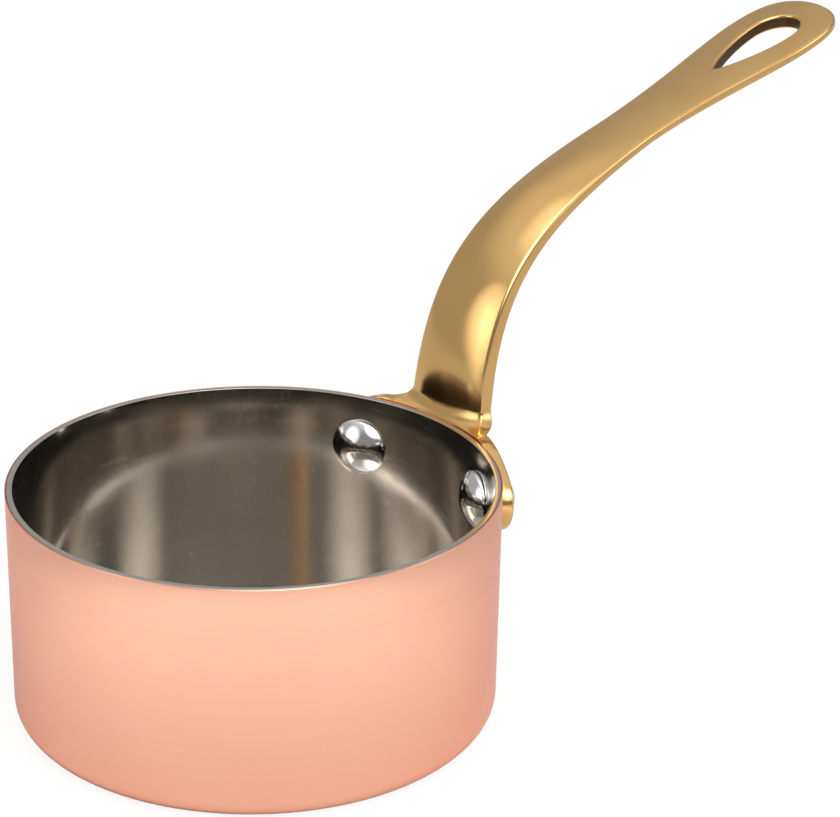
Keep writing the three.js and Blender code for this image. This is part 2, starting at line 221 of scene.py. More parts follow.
class StudioSettings(PropertyGroup):
    """Floor, with painted light and shade that only reflections see, lights and camera. Directions are
    turned from the camera's, seen from above.
    """

    lens: number("Lens", "Focal length in millimetres", 128.16)
    distance: length("Distance", "Camera to the middle of the rim", 542.69)
    elevation: angle("Elevation", "Camera above the rim", 24.271)
    azimuth: angle("Azimuth", "Camera's direction from the pan's axis", -129.7)
    pan: angle("Pan", "Aim to the side of the rim's middle", -3.174)
    tilt: angle("Tilt", "Aim above the rim's middle", 1.349)
    roll: angle("Roll", "Camera about its own axis", -0.48)
    floor_radius: length("Floor radius", "Of the pale floor", 6000)
    floor_colour: colour("Floor", "Pale floor to the eye, and in front of the pan", (0.98, 0.98, 0.98))
    # Painted shade, seen only in reflections: grey floor beside the pan, where its own shade would fall
    near_floor_shade: colour("Near floor", "Pale floor beside the pan, as the metal sees it", (0.65, 0.65, 0.65))
    # Painted shade, seen only in reflections: grey floor away from the painted pool of light
    far_floor_shade: colour("Far floor", "Pale floor away from the pan, as the metal sees it", (0.55, 0.55, 0.55))
    # Painted pool of light, seen only in reflections: the floor keeps its own colour round a place in front
    # of the pan and fades to grey between the next two distances
    light_pool_middle: length("Floor middle", "Brightest place, in front of the pan's axis", 70)
    pool_start: length("Pool start", "Brightest place to where its light starts to fade", 80)
    pool_end: length("Pool end", "Brightest place to where its light has faded", 170)
    # The painted shade beside the pan fades out between these two distances
    near_start: length("Near start", "Pan's axis to where the near floor starts to end", 50)
    near_end: length("Near end", "Pan's axis to where the near floor has ended", 140)
    # Painted light, seen only in reflections: the distant floor glows paler between these two distances
    glow_start: length("Haze start", "Pan's axis to where the distant floor starts to pale", 400)
    glow_end: length("Haze end", "Pan's axis to where the distant floor is palest", 900)
    floor_glow: number("Floor glow", "Share of the floor that stays white to the eye", 0.88)
    # Painted light: share of white glow on the distant floor, seen in the metal
    distant_floor_glow: number("Floor haze", "Share of white that the distant floor adds in the metal", 0.3)
    backdrop: number("Backdrop", "Light from behind the pan", 0.45)
    ceiling: number("Ceiling", "Light from above", 0.8)
    room: number("Room", "Light from behind the camera", 0.28)
    light_distance: length("Light distance", "Softboxes to the pan's axis", 1100)
    key: number("Key", "Brightness of the large softbox above the camera", 5.5)
    key_turn: angle("Key turn", "Large softbox, from the camera", 20)
    key_elevation: angle("Key elevation", "Large softbox above the floor", 52)
    key_spread: angle("Key spread", "Full angle of the large softbox's beam", 68)
    overhead: number("Overhead", "Brightness of the overhead softbox", 1.1)
    overhead_turn: angle("Overhead turn", "Overhead softbox, from the camera", -75)
    overhead_elevation: angle("Overhead elevation", "Overhead softbox above the floor", 80)
    overhead_spread: angle("Overhead spread", "Full angle of the overhead softbox's beam", 42)
    side: number("Side", "Brightness of the side softboxes", 2.25)
    side_spread: angle("Side spread", "Full angle of the side softboxes' beams", 51)
    side_elevation: angle("Side elevation", "Side softboxes above the floor", 22)
    left_turn: angle("Left turn", "Left softbox, from the camera", -62)
    right_turn: angle("Right turn", "Right softbox, from the camera", 84)


# Small tools


def smoothstep(low, high, value):
    """A smooth rise from 0 at the low end to 1 at the high end."""
    part = min(1, max(0, (value - low) / (high - low)))
    return part * part * (3 - 2 * part)


def blend(low, high, part):
    """A value part of the way between two others."""
    return low + (high - low) * part


def even_places(start, end, step):
    """Even places strictly between two ends, about a step apart."""
    count = max(1, round((end - start) / step))
    return [blend(start, end, index / count) for index in range(1, count)]


def everything(bm):
    """All of a mesh, for an operator that works on the whole of it."""
    return bm.verts[:] + bm.edges[:] + bm.faces[:]


def clean(bm):
    """Merges doubles and turns every face outwards."""
    bmesh.ops.remove_doubles(bm, verts=bm.verts[:], dist=WELD)
    bmesh.ops.dissolve_degenerate(bm, edges=bm.edges[:], dist=WELD)
    bmesh.ops.recalc_face_normals(bm, faces=bm.faces[:])


def spun(profile, centre, axis, turns):
    """A mesh made by spinning a chain of points once round an axis."""
    bm = bmesh.new()
    verts = [bm.verts.new(point) for point in profile]
    for start, end in zip(verts, verts[1:]):
        bm.edges.new((start, end))
    bmesh.ops.spin(
        bm,
        geom=bm.verts[:] + bm.edges[:],
        cent=centre,
        axis=axis,
        angle=math.tau,
        steps=turns,
        use_merge=True,
    )
    clean(bm)
    return bm


def ring_edges(bm, centre, axis, radius):
    """Edges of a circle about an axis."""

    def on_ring(vert):
        offset = vert.co - centre
        along = offset.dot(axis)
        return abs(along) < WELD and abs((offset - along * axis).length - radius) < WELD

    return [edge for edge in bm.edges if all(on_ring(vert) for vert in edge.verts)]


def round_edges(bm, edges, radius, segments):
    """Rounds edges off."""
    bmesh.ops.bevel(
        bm, geom=edges, offset=radius, segments=segments, profile=0.5, affect="EDGES", material=-1
    )


def slice_across(bm, axis, places):
    """Cuts a mesh square to an axis at several places."""
    for place in places:
        bmesh.ops.bisect_plane(
            bm, geom=everything(bm), plane_co=place * axis, plane_no=axis, dist=WELD
        )


def piece_from(bm, name):
    """An object of the scene, at the origin, from a bmesh."""
    mesh = bpy.data.meshes.new(name)
    bm.to_mesh(mesh)
    bm.free()
    piece = bpy.data.objects.new(name, mesh)
    bpy.context.scene.collection.objects.link(piece)
    return piece


def dress(piece, node, material):
    """Smooths a piece, gives it its finish and lets it stand for its node."""
    piece.data.shade_smooth()
    piece.data.set_sharp_from_angle(angle=SHARP_ANGLE)
    piece.data.materials.clear()
    piece.data.materials.append(material)
    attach(piece, BODY)
    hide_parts(node)


def rivet_angle(sizes):
    """Turn of each rivet's axis from the handle, seen from above."""
    return math.asin(sizes.rivets.spacing / 2 / sizes.pan.rim_radius)


def wall_radius(pan, level):
    """Outside radius of the wall at a height."""
    return pan.rim_radius - pan.taper * (1 - level / pan.height)


def drill(piece, sizes):
    """Cuts both rivets' holes through a piece."""
    rivets = sizes.rivets
    radius = rivets.shank_diameter / 2 + rivets.shank_gap
    depth = sizes.pan.rim_radius
    level = sizes.pan.height - rivets.drop
    bm = bmesh.new()
    for side in (1, -1):
        place = Matrix.Rotation(side * rivet_angle(sizes), 4, "Z")
        place @= Matrix.Translation((sizes.pan.rim_radius, 0, level))
        place @= Matrix.Rotation(math.pi / 2, 4, "Y")
        bmesh.ops.create_cone(
            bm,
            cap_ends=True,
            segments=HOLE_SIDES,
            radius1=radius,
            radius2=radius,
            depth=depth,
            matrix=place,
        )
    cutter = piece_from(bm, "rivet_holes")
    cut = piece.modifiers.new("Rivet holes", "BOOLEAN")
    cut.object = cutter
    cut.solver = "EXACT"
    cut.operation = "DIFFERENCE"
    drilled = piece.evaluated_get(bpy.context.evaluated_depsgraph_get())
    mesh = bpy.data.meshes.new_from_object(drilled)
    piece.modifiers.clear()
    piece.data = mesh
    mesh.name = piece.name
    bpy.data.objects.remove(cutter)


# Pan

CORNER_SEGMENTS = 10
OUTER_ROUND_SEGMENTS = 5
RIM_ROUND_SEGMENTS = 4
INNER_CORNER_SEGMENTS = 14

# Cuts that keep the wall's faces short: shares of its height, and shank diameters beside each hole
WALL_CUTS = (1 / 4, 1 / 2)
HOLE_CUT = 0.75


def spun_sheet(name, sizes, outside, inside, outer_round, inner_corner, draft=0):
    """A closed sheet of the pan, between two distances inside its outer surface."""
    pan = sizes.pan
    base_radius = pan.rim_radius - pan.taper
    corners = [
        (0, outside),
        (base_radius - outside, outside),
        (pan.rim_radius - outside, pan.height),
        (pan.rim_radius - inside, pan.height),
        (base_radius - inside - draft, inside),
        (0, inside),
    ]
    bm = spun([(x, 0, z) for x, z in corners], Vector(), Z_AXIS, pan.turns)
    rounds = [
        (pan.corner_radius - outside, CORNER_SEGMENTS),
        (outer_round, OUTER_ROUND_SEGMENTS),
        (pan.rim_round, RIM_ROUND_SEGMENTS),
        (inner_corner, INNER_CORNER_SEGMENTS),
    ]
    for (radius, level), (size, segments) in zip(corners[1:-1], rounds):
        round_edges(bm, ring_edges(bm, level * Z_AXIS, Z_AXIS, radius), size, segments)
    hole = pan.height - sizes.rivets.drop
    beside = sizes.rivets.shank_diameter * HOLE_CUT
    levels = [pan.height * share for share in WALL_CUTS]
    slice_across(bm, Z_AXIS, levels + [hole - beside, hole, hole + beside])
    clean(bm)
    return piece_from(bm, name)


# Rivets

HEAD_STEPS = 14
TAIL_STEPS = 10
SKIRT_SEGMENTS = 4


def dome_profile(radius, height, steps):
    """Half section of a domed head, from its edge to its top: height and distance from the axis."""
    bowl = (radius * radius + height * height) / (2 * height)
    widest = math.asin(min(1, radius / bowl))
    turns = [widest * (1 - step / steps) for step in range(steps + 1)]
    return [(height - bowl * (1 - math.cos(turn)), bowl * math.sin(turn)) for turn in turns]


def rivet(name, sizes, side):
    """One rivet: a polished dome inside, a shank, and a hammered end on the flange."""
    pan, rivets, handle = sizes.pan, sizes.rivets, sizes.handle
    level = pan.height - rivets.drop
    wall = wall_radius(pan, level)
    lining = pan.lining + pan.draft * (1 - level / pan.height)
    inner = wall - pan.copper - pan.bond_gap - lining - rivets.seat_gap
    outer = wall + handle.wall_gap + handle.flange + rivets.seat_gap
    skirt = inner - rivets.head_skirt
    head, tail, shank = rivets.head_diameter / 2, rivets.tail_diameter / 2, rivets.shank_diameter / 2
    dome = dome_profile(head, rivets.head_height - rivets.head_skirt, HEAD_STEPS)
    hammered = dome_profile(tail, rivets.tail_height, TAIL_STEPS)
    profile = [(skirt - up, out) for up, out in reversed(dome)]
    profile += [(inner, head), (inner, shank), (outer, shank)]
    profile += [(outer + up, out) for up, out in hammered]
    bm = spun([(x, 0, level + out) for x, out in profile], level * Z_AXIS, X_AXIS, rivets.turns)
    for seat in (inner, outer):
        for vert in bm.verts:
            if abs(vert.co.x - seat) < WELD:
                vert.co.x = math.sqrt(seat * seat - vert.co.y**2)
    edge = ring_edges(bm, Vector((skirt, 0, level)), X_AXIS, head)
    round_edges(bm, edge, rivets.head_skirt / 2, SKIRT_SEGMENTS)
    turn = Matrix.Rotation(side * rivet_angle(sizes), 3, "Z")
    bmesh.ops.rotate(bm, verts=bm.verts[:], cent=Vector(), matrix=turn)
    clean(bm)
    return piece_from(bm, name)


# Handle

# Steps along the outline, from the flange's lowest point to the hanging hole
LOWER_STEPS = 24
LOBE_STEPS = 12
SHOULDER_STEPS = 18
FILLET_STEPS = 12
SIDE_STEPS = 70
PADDLE_STEPS = 36
HOLE_ROUND_STEPS = 12
HOLE_SIDE_STEPS = 22

# The flat plate: least fold of its edges in radians, least upright part of its faces' normals,
# segments round its edges, and the strip inside them that keeps the faces smooth
FOLD_ANGLE = 1.0
FLAT_NORMAL = 0.999
EDGE_SEGMENTS = 5
FACE_MARGIN = 0.12 * MM

# Spacing of the cuts that let the plate bend
FLANGE_ROW = 1.5 * MM
FILLET_ROW = 0.22 * MM
BEND_ROW = 1 * MM
GRIP_ROW = 2 * MM
COLUMN = 1.5 * MM


class HandleShape:
    """Bends a flat casting into the handle: across, along from the rim, and height above the face."""

    # Steps along the bend, and how far to each side its direction is read
    PATH_STEPS = 400
    LOOK = 0.5 * MM

    # Shares of the bend where the crown is up, where it starts to sink and where the edges' fall ends
    CROWN_UP = 1 / 4
    CROWN_SINKS = 1 / 2
    FALL_ENDS = 1 / 3

    # How many fillets the strap's root runs up the neck
    ROOT_FILLETS = 3

    def __init__(self, pan, handle):
        self.pan = pan
        self.handle = handle
        self.start = Vector((pan.rim_radius + handle.setback, 0, pan.height))
        tip = Vector((pan.rim_radius + handle.reach, 0, pan.height + handle.rise))
        slope = Vector((math.cos(handle.slope), 0, math.sin(handle.slope)))
        lean = Vector((math.sin(handle.lean), 0, math.cos(handle.lean)))
        bend_end = tip - slope * handle.straight
        neck_aim = self.start + lean * handle.neck_pull
        elbow_aim = bend_end - slope * handle.elbow_pull
        self.points = interpolate_bezier(self.start, neck_aim, elbow_aim, bend_end, self.PATH_STEPS)
        self.points.append(tip + slope * handle.paddle_round)
        self.reached = [0]
        for before, after in zip(self.points, self.points[1:]):
            self.reached.append(self.reached[-1] + (after - before).length)
        self.bend_length = self.reached[-2]
        self.tip = self.bend_length + handle.straight
        self.waist = self.tip - handle.waist_from_tip

    def place(self, along):
        """Point of the strap's face at a distance from the rim."""
        if along <= 0:
            return self.start + Vector((0, 0, along))
        index = min(bisect_right(self.reached, along), len(self.points) - 1)
        low, high = self.reached[index - 1], self.reached[index]
        return self.points[index - 1].lerp(self.points[index], (along - low) / (high - low))

    def half_width(self, along):
        """Half the strap's width at a distance from the rim."""
        handle = self.handle
        from_tip = self.tip - along
        if from_tip < handle.paddle_round:
            part = 1 - max(0, from_tip) / handle.paddle_round
            round_off = (1 - part**handle.paddle_bluntness) ** (1 / handle.paddle_bluntness)
            return handle.paddle_width / 2 * round_off
        if along > self.waist:
            span = handle.waist_from_tip - handle.paddle_round
            part = (from_tip - handle.paddle_round) / span
            eased = (1 + math.cos(math.pi * part**handle.paddle_ease)) / 2
            return blend(handle.waist_width, handle.paddle_width, eased) / 2
        part = (max(0, along) / self.waist) ** handle.neck_ease
        return blend(handle.neck_width, handle.waist_width, part) / 2

    def crown(self, along):
        """Height of the face's middle above its edges."""
        handle = self.handle
        rising = smoothstep(0, self.bend_length * self.CROWN_UP, along)
        falling = smoothstep(self.bend_length * self.CROWN_SINKS, self.waist, along)
        return blend(blend(handle.root_crown, handle.bend_crown, rising), handle.paddle_crown, falling)

    def face(self, across, along):
        """Height of the upper face: on the flange it follows the wall, on the strap it is crowned."""
        handle, pan = self.handle, self.pan
        wall = 1 / self.start.x
        recede = pan.taper * max(0, -along) / pan.height
        flange = handle.setback - handle.wall_gap + recede + (1 - math.cos(across * wall)) / wall
        if along <= handle.flange_rise:
            return flange
        share = min(1, abs(across) / self.half_width(along)) if along < self.tip else 1
        strap = self.crown(along) * (1 - share**handle.crown_power)
        strap -= self.edge_fall(share * self.half_width(along), along)
        left = max(0, 1 - (along - handle.flange_rise) / handle.face_fillet)
        swell = 1 - math.sqrt(1 - left * left)
        return blend(strap, max(strap, flange), swell)

    def edge_fall(self, across, along):
        """How far the face drops towards its edges, which are rounder at the neck."""
        handle = self.handle
        inside = max(0, self.half_width(along) - abs(across))
        part = max(0, 1 - inside / handle.neck_fall_width)
        fading = smoothstep(0, self.bend_length * self.FALL_ENDS, along)
        return handle.neck_fall * part * part * (1 - fading)

    def root(self, across, along):
        """Share of the strap's full thickness: none out on the flange, all of it up the neck."""
        handle = self.handle
        lowest = handle.root_lift - handle.flange_depth
        half = handle.neck_width / 2
        up = smoothstep(lowest, handle.flange_rise, along)
        root_end = handle.flange_rise + self.ROOT_FILLETS * handle.neck_fillet
        shoulder = smoothstep(handle.flange_rise, root_end, along)
        inner = blend(half * up / 2, half + handle.neck_fillet, shoulder)
        outer = blend(handle.root_width / 2, half + handle.neck_fillet, up)
        outer = max(outer, inner) + handle.neck_fillet * shoulder
        return up * (1 - smoothstep(inner, outer + WELD, abs(across)))

    def bend(self, flat):
        """Where a point of the flat casting ends up."""
        handle = self.handle
        across, along, height = flat
        ahead, behind = self.place(along + self.LOOK), self.place(along - self.LOOK)
        tangent = (ahead - behind).normalized()
        up = Vector((-tangent.z, 0, tangent.x))
        half = self.half_width(along)
        face = self.face(across, along)
        slim = min(1, max(0, along / self.waist))
        thickness = blend(handle.neck_thickness, handle.grip_thickness, slim)
        share = min(1, abs(across) / half) if half else 1
        strap_depth = face + thickness + handle.belly * (1 - share * share)
        depth = blend(handle.flange, strap_depth, self.root(across, along))
        turn = across / self.start.x
        wrap = 1 - smoothstep(handle.flange_rise, handle.flange_rise + handle.neck_fillet, along)
        if height < -handle.grip_thickness / 2:
            height += handle.grip_thickness - depth
        else:
            height *= blend(1, handle.flange_crispness, wrap)
        side = blend(across, self.start.x * math.sin(turn), wrap)
        point = self.place(along) + up * (face + height * math.cos(turn * wrap))
        point.y = side - height * math.sin(turn * wrap)
        return point


def handle_outline(shape):
    """Half outline of the flat casting: from its lowest point to the tip, and back round the hole."""
    handle = shape.handle
    lowest = -handle.flange_depth
    lobe = Vector((handle.lobe_spread, -handle.lobe_drop))
    leave = lobe + handle.lobe_radius * Vector((math.cos(handle.lobe_turn), -math.sin(handle.lobe_turn)))
    ease = leave - handle.lobe_ease * Vector((math.sin(handle.lobe_turn), math.cos(handle.lobe_turn)))
    lower = Vector((0, lowest)), Vector((handle.lower_ease, lowest))
    outline = interpolate_bezier(*lower, ease, leave, LOWER_STEPS)
    outline += arc(lobe, handle.lobe_radius, -handle.lobe_turn, handle.shoulder_turn, LOBE_STEPS)
    fillet_end = handle.flange_rise + handle.neck_fillet
    fillet_centre = Vector((shape.half_width(fillet_end) + handle.neck_fillet, fillet_end))
    shoulder = Vector((fillet_centre.x, handle.flange_rise))
    climb = Vector((-math.sin(handle.shoulder_turn), math.cos(handle.shoulder_turn)))
    ease_in = outline[-1] + handle.shoulder_ease * climb
    ease_out = shoulder + Vector((handle.shoulder_ease, 0))
    outline += interpolate_bezier(outline[-1], ease_in, ease_out, shoulder, SHOULDER_STEPS)[1:]
    outline += arc(fillet_centre, handle.neck_fillet, -math.pi / 2, -math.pi, FILLET_STEPS)[1:]
    round_start = shape.tip - handle.paddle_round
    for step in range(1, SIDE_STEPS):
        along = blend(fillet_end, round_start, step / SIDE_STEPS)
        outline.append(Vector((shape.half_width(along), along)))
    bluntness = 2 / handle.paddle_bluntness
    for step in range(PADDLE_STEPS + 1):
        turn = math.pi / 2 * step / PADDLE_STEPS
        across = handle.paddle_width / 2 * math.cos(turn) ** bluntness if step < PADDLE_STEPS else 0
        outline.append(Vector((across, round_start + handle.paddle_round * math.sin(turn) ** bluntness)))
    outline += half_hole(shape)
    return outline


def half_hole(shape):
    """Half outline of the hanging hole, from its wide end to its point."""
    handle = shape.handle
    wide_end = shape.tip - handle.hole_from_tip
    widest = Vector((handle.hole_width / 2, wide_end - handle.hole_round))
    point = Vector((0, wide_end - handle.hole_length))
    turns = [math.pi / 2 * (1 - step / HOLE_ROUND_STEPS) for step in range(HOLE_ROUND_STEPS)]
    outline = [
        Vector((widest.x * math.cos(turn), widest.y + handle.hole_round * math.sin(turn))) for turn in turns
    ]
    outline[0].x = 0
    aim = widest - Vector((0, handle.hole_ease))
    blunt = point + Vector((handle.hole_point / 2, 0))
    return outline + interpolate_bezier(widest, aim, blunt, point, HOLE_SIDE_STEPS)


def arc(centre, radius, start, end, steps):
    """Points round an arc, both ends included."""
    turns = [blend(start, end, step / steps) for step in range(steps + 1)]
    return [centre + radius * Vector((math.cos(turn), math.sin(turn))) for turn in turns]


def brass_casting(name, pan, handle):
    """The handle in one piece: a flat plate with a round on every edge, bent to its final shape."""
    shape = HandleShape(pan, handle)
    bm = bmesh.new()
    outline = [bm.verts.new((point.x, point.y, 0)) for point in handle_outline(shape)]
    bm.faces.new(outline)
    bmesh.ops.remove_doubles(bm, verts=bm.verts[:], dist=WELD)
    bmesh.ops.mirror(bm, geom=everything(bm), axis="X", matrix=Matrix(), merge_dist=WELD)
    bmesh.ops.recalc_face_normals(bm, faces=bm.faces[:])
    extruded = bmesh.ops.extrude_face_region(bm, geom=bm.faces[:])["geom"]
    lowered = [item for item in extruded if isinstance(item, bmesh.types.BMVert)]
    bmesh.ops.translate(bm, verts=lowered, vec=-handle.grip_thickness * Z_AXIS)
    bmesh.ops.recalc_face_normals(bm, faces=bm.faces[:])
    folds = [edge for edge in bm.edges if edge.is_manifold and edge.calc_face_angle() > FOLD_ANGLE]
    rims = [edge for edge in folds if abs(edge.verts[0].co.z - edge.verts[1].co.z) < WELD]
    round_edges(bm, rims, handle.edge_round, EDGE_SEGMENTS)
    for facing in (1, -1):
        flats = [face for face in bm.faces if face.normal.z * facing > FLAT_NORMAL]
        bmesh.ops.inset_region(bm, faces=flats, thickness=FACE_MARGIN, use_even_offset=True)
    fillet_end = handle.flange_rise + handle.neck_fillet
    rows = even_places(-handle.flange_depth, -handle.flange_rise, FLANGE_ROW)
    rows += even_places(-handle.flange_rise, fillet_end, FILLET_ROW)
    rows += even_places(fillet_end, shape.bend_length, BEND_ROW)
    rows += even_places(shape.bend_length, shape.tip, GRIP_ROW)
    reach = handle.lobe_spread + handle.lobe_radius
    slice_across(bm, Y_AXIS, rows)
    slice_across(bm, X_AXIS, even_places(-reach, reach, COLUMN))
    mark_hole_wall(bm, shape)
    for vert in bm.verts:
        vert.co = shape.bend(vert.co)
    clean(bm)
    return piece_from(bm, name)


def mark_hole_wall(bm, shape):
    """Marks the wall of the hanging hole, which gets painted shade."""
    handle = shape.handle
    shaded_hole = bm.verts.layers.float.new(HOLE_SHADE)
    wide_end = shape.tip - handle.hole_from_tip
    for vert in bm.verts:
        across, along, height = vert.co
        in_wall = handle.edge_round - WELD < -height < handle.grip_thickness - handle.edge_round + WELD
        in_width = abs(across) < handle.hole_width / 2 + WELD
        in_length = -WELD < wide_end - along < handle.hole_length + WELD
        vert[shaded_hole] = in_wall and in_width and in_length


# Materials

HANDLING_MARKS = "Handling marks"
TURNED_LINES = "Turned lines"

# Where a mix node keeps its two values and its result, for each kind of value
MIX_SOCKETS = {"FLOAT": (2, 3, 0), "RGBA": (6, 7, 2)}

# Bands of noise that show as haze and as scratches, and how two sets of scratches are turned and stretched
HAZE_BAND = (0.35, 0.7)
SCRATCH_BAND = (0.64, 0.72)
SCRATCH_SETS = (
    ((0.4, 0.9, 0.3), (90.0, 2600.0, 900.0)),
    ((1.2, 0.2, 1.0), (1900.0, 110.0, 700.0)),
)

# How strongly haze and lines show in the colours
COPPER_HAZE = 0.12
COPPER_LINES = 0.3
STEEL_HAZE = 0.5
BRASS_HAZE = 0.4

# What cut edges, lines, scratches and the hanging hole's wall add to the roughness
CUT_ROUGHNESS = 0.2
STEEL_LINE_ROUGHNESS = 0.03
STEEL_SCRATCH_ROUGHNESS = 0.05
POLISH_ROUGHNESS = 0.05
HOLE_ROUGHNESS = 0.3
RIVET_SCRATCH_ROUGHNESS = 0.1

# Depth below the rim where the copper's cut edge starts, and where it is full
CUT_START = 0.08 * MM
CUT_FULL = 0.01 * MM

# Stretch and depth of the marks that polishing left along the brass
POLISH_STRETCH = (40.0, 2200.0, 40.0)
POLISH_DEPTH = 0.002 * MM


def add_node(tree, kind, settings=None, **inputs):
    """A node with its settings, and its inputs linked or set by name."""
    node = tree.nodes.new(kind)
    for key, value in (settings or {}).items():
        setattr(node, key, value)
    for key, value in inputs.items():
        connect(tree, value, node.inputs[key.replace("_", " ")])
    return node


def connect(tree, value, socket):
    """Links a socket to an output, or sets it to a plain value."""
    if isinstance(value, bpy.types.NodeSocket):
        tree.links.new(value, socket)
    else:
        socket.default_value = value


def calculate(tree, operation, first, second=0.0, third=0.0):
    """A math node's result."""
    node = tree.nodes.new("ShaderNodeMath")
    node.operation = operation
    for value, socket in zip((first, second, third), node.inputs):
        connect(tree, value, socket)
    return node.outputs[0]


def map_range(tree, value, low, high, to_low, to_high, smooth=False):
    """A value mapped from one range to another."""
    kind = "SMOOTHSTEP" if smooth else "LINEAR"
    node = add_node(tree, "ShaderNodeMapRange", {"interpolation_type": kind}, Value=value)
    for name, setting in (("From Min", low), ("From Max", high), ("To Min", to_low), ("To Max", to_high)):
        node.inputs[name].default_value = setting
    return node.outputs["Result"]


def mix(tree, kind, factor, first, second):
    """A blend of two floats or two colours."""
    node = add_node(tree, "ShaderNodeMix", {"data_type": kind}, Factor=factor)
    first_socket, second_socket, result = MIX_SOCKETS[kind]
    connect(tree, first, node.inputs[first_socket])
    connect(tree, second, node.inputs[second_socket])
    return node.outputs[result]


def own_place(tree):
    """Coordinates in the piece's own frame."""
    return add_node(tree, "ShaderNodeTexCoord").outputs["Object"]


def opaque(rgb):
    """A colour with its alpha."""
    return (*rgb, 1)


def new_group(name, outputs, inputs=()):
    """An empty shader group with float sockets."""
    group = bpy.data.node_groups.new(name, "ShaderNodeTree")
    for socket_name, value in inputs:
        socket = group.interface.new_socket(socket_name, in_out="INPUT", socket_type="NodeSocketFloat")
        socket.default_value = value
    for socket_name in outputs:
        group.interface.new_socket(socket_name, in_out="OUTPUT", socket_type="NodeSocketFloat")
    return group


def turned_lines_group():
    """Fine lines round the pan's axis, as a spun or turned sheet has."""
    group = new_group(TURNED_LINES, ["Lines"], [("Lines per metre", 4000.0)])
    source = group.nodes.new("NodeGroupInput").outputs["Lines per metre"]
    parts = add_node(group, "ShaderNodeSeparateXYZ", Vector=own_place(group))
    flat = add_node(group, "ShaderNodeCombineXYZ", X=parts.outputs["X"], Y=parts.outputs["Y"])
    out = add_node(group, "ShaderNodeVectorMath", {"operation": "LENGTH"}, Vector=flat.outputs[0])
    profile = calculate(group, "ADD", out.outputs["Value"], parts.outputs["Z"])
    along = calculate(group, "MULTIPLY", profile, source)
    flat_noise = {"noise_dimensions": "1D"}
    noise = add_node(group, "ShaderNodeTexNoise", flat_noise, W=along, Scale=1.0, Detail=1.0)
    target = group.nodes.new("NodeGroupOutput")
    group.links.new(noise.outputs["Fac"], target.inputs["Lines"])
    return group


def handling_group():
    """Marks of use: soft haze, and fine scratches in two directions."""
    group = new_group(HANDLING_MARKS, ["Haze", "Scratches"], [("Haze per metre", 60.0)])
    source = group.nodes.new("NodeGroupInput").outputs["Haze per metre"]
    place = own_place(group)
    noise = add_node(group, "ShaderNodeTexNoise", Vector=place, Scale=source, Detail=2.0, Roughness=0.5)
    haze = map_range(group, noise.outputs["Fac"], *HAZE_BAND, 0.0, 1.0, smooth=True)
    streaks = []
    for turn, stretch in SCRATCH_SETS:
        mapped = add_node(group, "ShaderNodeMapping", Vector=place, Rotation=turn, Scale=stretch)
        fine = add_node(group, "ShaderNodeTexNoise", Vector=mapped.outputs[0], Scale=1.0, Detail=1.0)
        streaks.append(map_range(group, fine.outputs["Fac"], *SCRATCH_BAND, 0.0, 1.0))
    scratches = calculate(group, "MAXIMUM", *streaks)
    target = group.nodes.new("NodeGroupOutput")
    group.links.new(haze, target.inputs["Haze"])
    group.links.new(scratches, target.inputs["Scratches"])
    return group


def use_group(tree, name, build, **inputs):
    """Outputs of a group placed in a material with its own values. The group is built once."""
    group = bpy.data.node_groups.get(name) or build()
    return add_node(tree, "ShaderNodeGroup", {"node_tree": group}, **inputs).outputs


def new_metal(name):
    """A material with one metal shader, its node tree and that shader."""
    material = bpy.data.materials.new(name)
    material.use_nodes = True
    shader = material.node_tree.nodes["Principled BSDF"]
    shader.inputs["Metallic"].default_value = 1.0
    return material, material.node_tree, shader


def copper_finish(sizes):
    """Spun copper, softly polished, darker, redder and rougher at its cut edge on the rim."""
    colours = sizes.finishes
    material, tree, shader = new_metal("polished_copper")
    shader.inputs["Specular Tint"].default_value = opaque(colours.copper_tint)
    marks = use_group(tree, HANDLING_MARKS, handling_group, Haze_per_metre=45.0)
    lines = use_group(tree, TURNED_LINES, turned_lines_group, Lines_per_metre=900.0)
    level = add_node(tree, "ShaderNodeSeparateXYZ", Vector=own_place(tree)).outputs["Z"]
    rim = sizes.pan.height
    cut = map_range(tree, level, rim - CUT_START, rim - CUT_FULL, 0.0, 1.0, smooth=True)
    dull = calculate(tree, "MULTIPLY", marks["Haze"], COPPER_HAZE)
    brushed = calculate(tree, "MULTIPLY_ADD", lines["Lines"], COPPER_LINES, dull)
    worn = mix(tree, "RGBA", brushed, opaque(colours.copper), opaque(colours.copper_deep))
    # Darker, redder colour along the rim's cut edge
    edged = mix(tree, "RGBA", cut, worn, opaque(colours.copper_edge))
    tree.links.new(edged, shader.inputs["Base Color"])
    soft = map_range(tree, marks["Haze"], 0.0, 1.0, *colours.copper_gloss)
    rough = calculate(tree, "MULTIPLY_ADD", cut, CUT_ROUGHNESS, soft)
    tree.links.new(rough, shader.inputs["Roughness"])
    return material


def steel_finish(sizes):
    """Satin stainless sheet with fine turned lines."""
    colours = sizes.finishes
    material, tree, shader = new_metal("satin_steel")
    marks = use_group(tree, HANDLING_MARKS, handling_group, Haze_per_metre=70.0)
    lines = use_group(tree, TURNED_LINES, turned_lines_group, Lines_per_metre=1500.0)
    dull = calculate(tree, "MULTIPLY", marks["Haze"], STEEL_HAZE)
    worn = mix(tree, "RGBA", dull, opaque(colours.steel), opaque(colours.steel_deep))
    tree.links.new(worn, shader.inputs["Base Color"])
    soft = map_range(tree, marks["Haze"], 0.0, 1.0, *colours.steel_gloss)
    turned = calculate(tree, "MULTIPLY_ADD", lines["Lines"], STEEL_LINE_ROUGHNESS, soft)
    rough = calculate(tree, "MULTIPLY_ADD", marks["Scratches"], STEEL_SCRATCH_ROUGHNESS, turned)
    tree.links.new(rough, shader.inputs["Roughness"])
    return material


